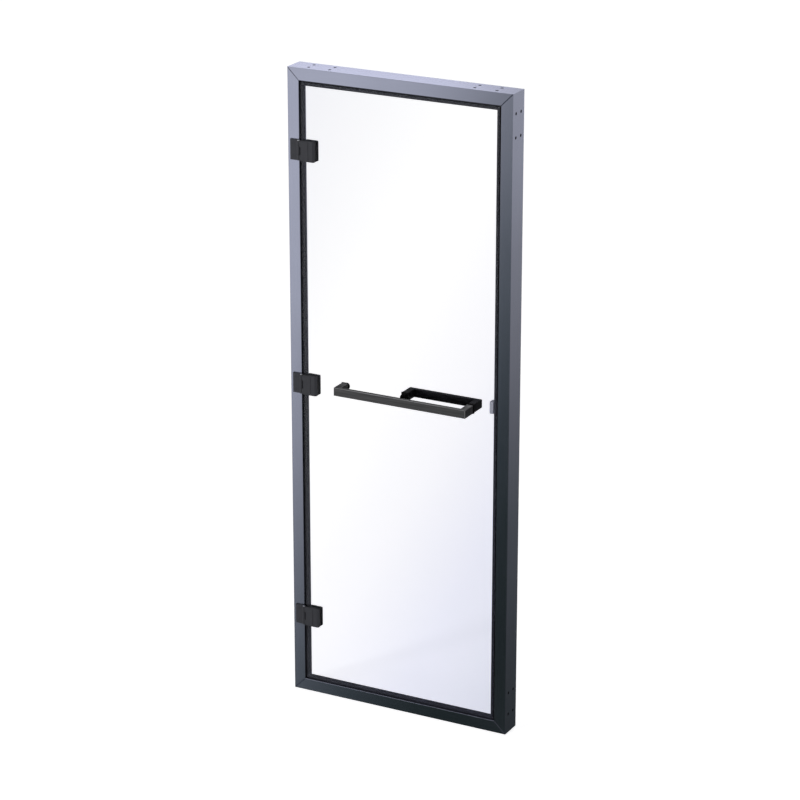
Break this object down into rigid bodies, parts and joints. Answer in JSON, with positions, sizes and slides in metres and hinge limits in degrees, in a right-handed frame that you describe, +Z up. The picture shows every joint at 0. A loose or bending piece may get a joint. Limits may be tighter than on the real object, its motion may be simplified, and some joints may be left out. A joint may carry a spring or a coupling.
{
  "type": "steam room door",
  "caption": "Glass steam room door in a mitred hollow metal frame, hung on pin hinges with glass clamps, with a towel bar outside, a pull handle inside and a magnetic catch.",
  "frame": {"origin": "middle of the sill's bottom face", "axes": "+X from the hinge side to the latch side, +Y from the front, which the door opens towards, to the back inside the room, +Z up"},
  "size_m": [0.7, 0.121, 1.9],
  "materials": {
    "frame_metal": "satin anodised, slate with a lavender tone",
    "cleat_metal": "plain extruded",
    "seal_rubber": "matt black",
    "gasket_rubber": "matt black",
    "hinge_black": "satin black",
    "handle_black": "satin black with a fine brushed grain",
    "screw_black": "blackened",
    "steel": "brushed",
    "catch_plastic": "light grey, moulded",
    "nylon": "natural white",
    "bush_nylon": "black, self-lubricating",
    "strike_grey": "light grey, coated",
    "glass": "clear tempered, ground edges"
  },
  "bodies": {
    "frame": {"frame_head": "frame_metal", "frame_sill": "frame_metal", "hinge_jamb": "frame_metal", "latch_jamb": "frame_metal", "corner_cleat_top_left": "cleat_metal", "corner_cleat_top_right": "cleat_metal", "corner_cleat_bottom_left": "cleat_metal", "corner_cleat_bottom_right": "cleat_metal", "corner_screws": "screw_black", "seal_head": "seal_rubber", "seal_sill": "seal_rubber", "seal_hinge_side": "seal_rubber", "seal_latch_side": "seal_rubber", "hinge_leaf_top": "hinge_black", "hinge_leaf_middle": "hinge_black", "hinge_leaf_bottom": "hinge_black", "hinge_pin_top": "steel", "hinge_pin_middle": "steel", "hinge_pin_bottom": "steel", "hinge_backing_plates": "steel", "hinge_leaf_screws": "screw_black", "catch_housing": "catch_plastic", "catch_magnet": "steel", "catch_screws": "steel"},
    "door_leaf": {"glass_pane": "glass", "clamp_front_top": "hinge_black", "clamp_front_middle": "hinge_black", "clamp_front_bottom": "hinge_black", "clamp_back_top": "hinge_black", "clamp_back_middle": "hinge_black", "clamp_back_bottom": "hinge_black", "clamp_gaskets_outer": "gasket_rubber", "clamp_gaskets_inner": "gasket_rubber", "clamp_sleeves": "nylon", "clamp_screws": "screw_black", "hinge_bushes": "bush_nylon", "towel_bar": "handle_black", "inner_handle": "handle_black", "handle_studs": "steel", "handle_sleeves": "nylon", "handle_rosettes": "gasket_rubber", "towel_bar_cap": "handle_black", "inner_handle_cap": "handle_black", "strike_plate": "strike_grey"}
  },
  "joints": [
    {"name": "door_swing", "type": "hinge", "parent": "frame", "child": "door_leaf", "pos_m": [-0.3115, -0.0415, 0], "axis": [0, 0, -1], "range_deg": [0, 120]}
  ]
}
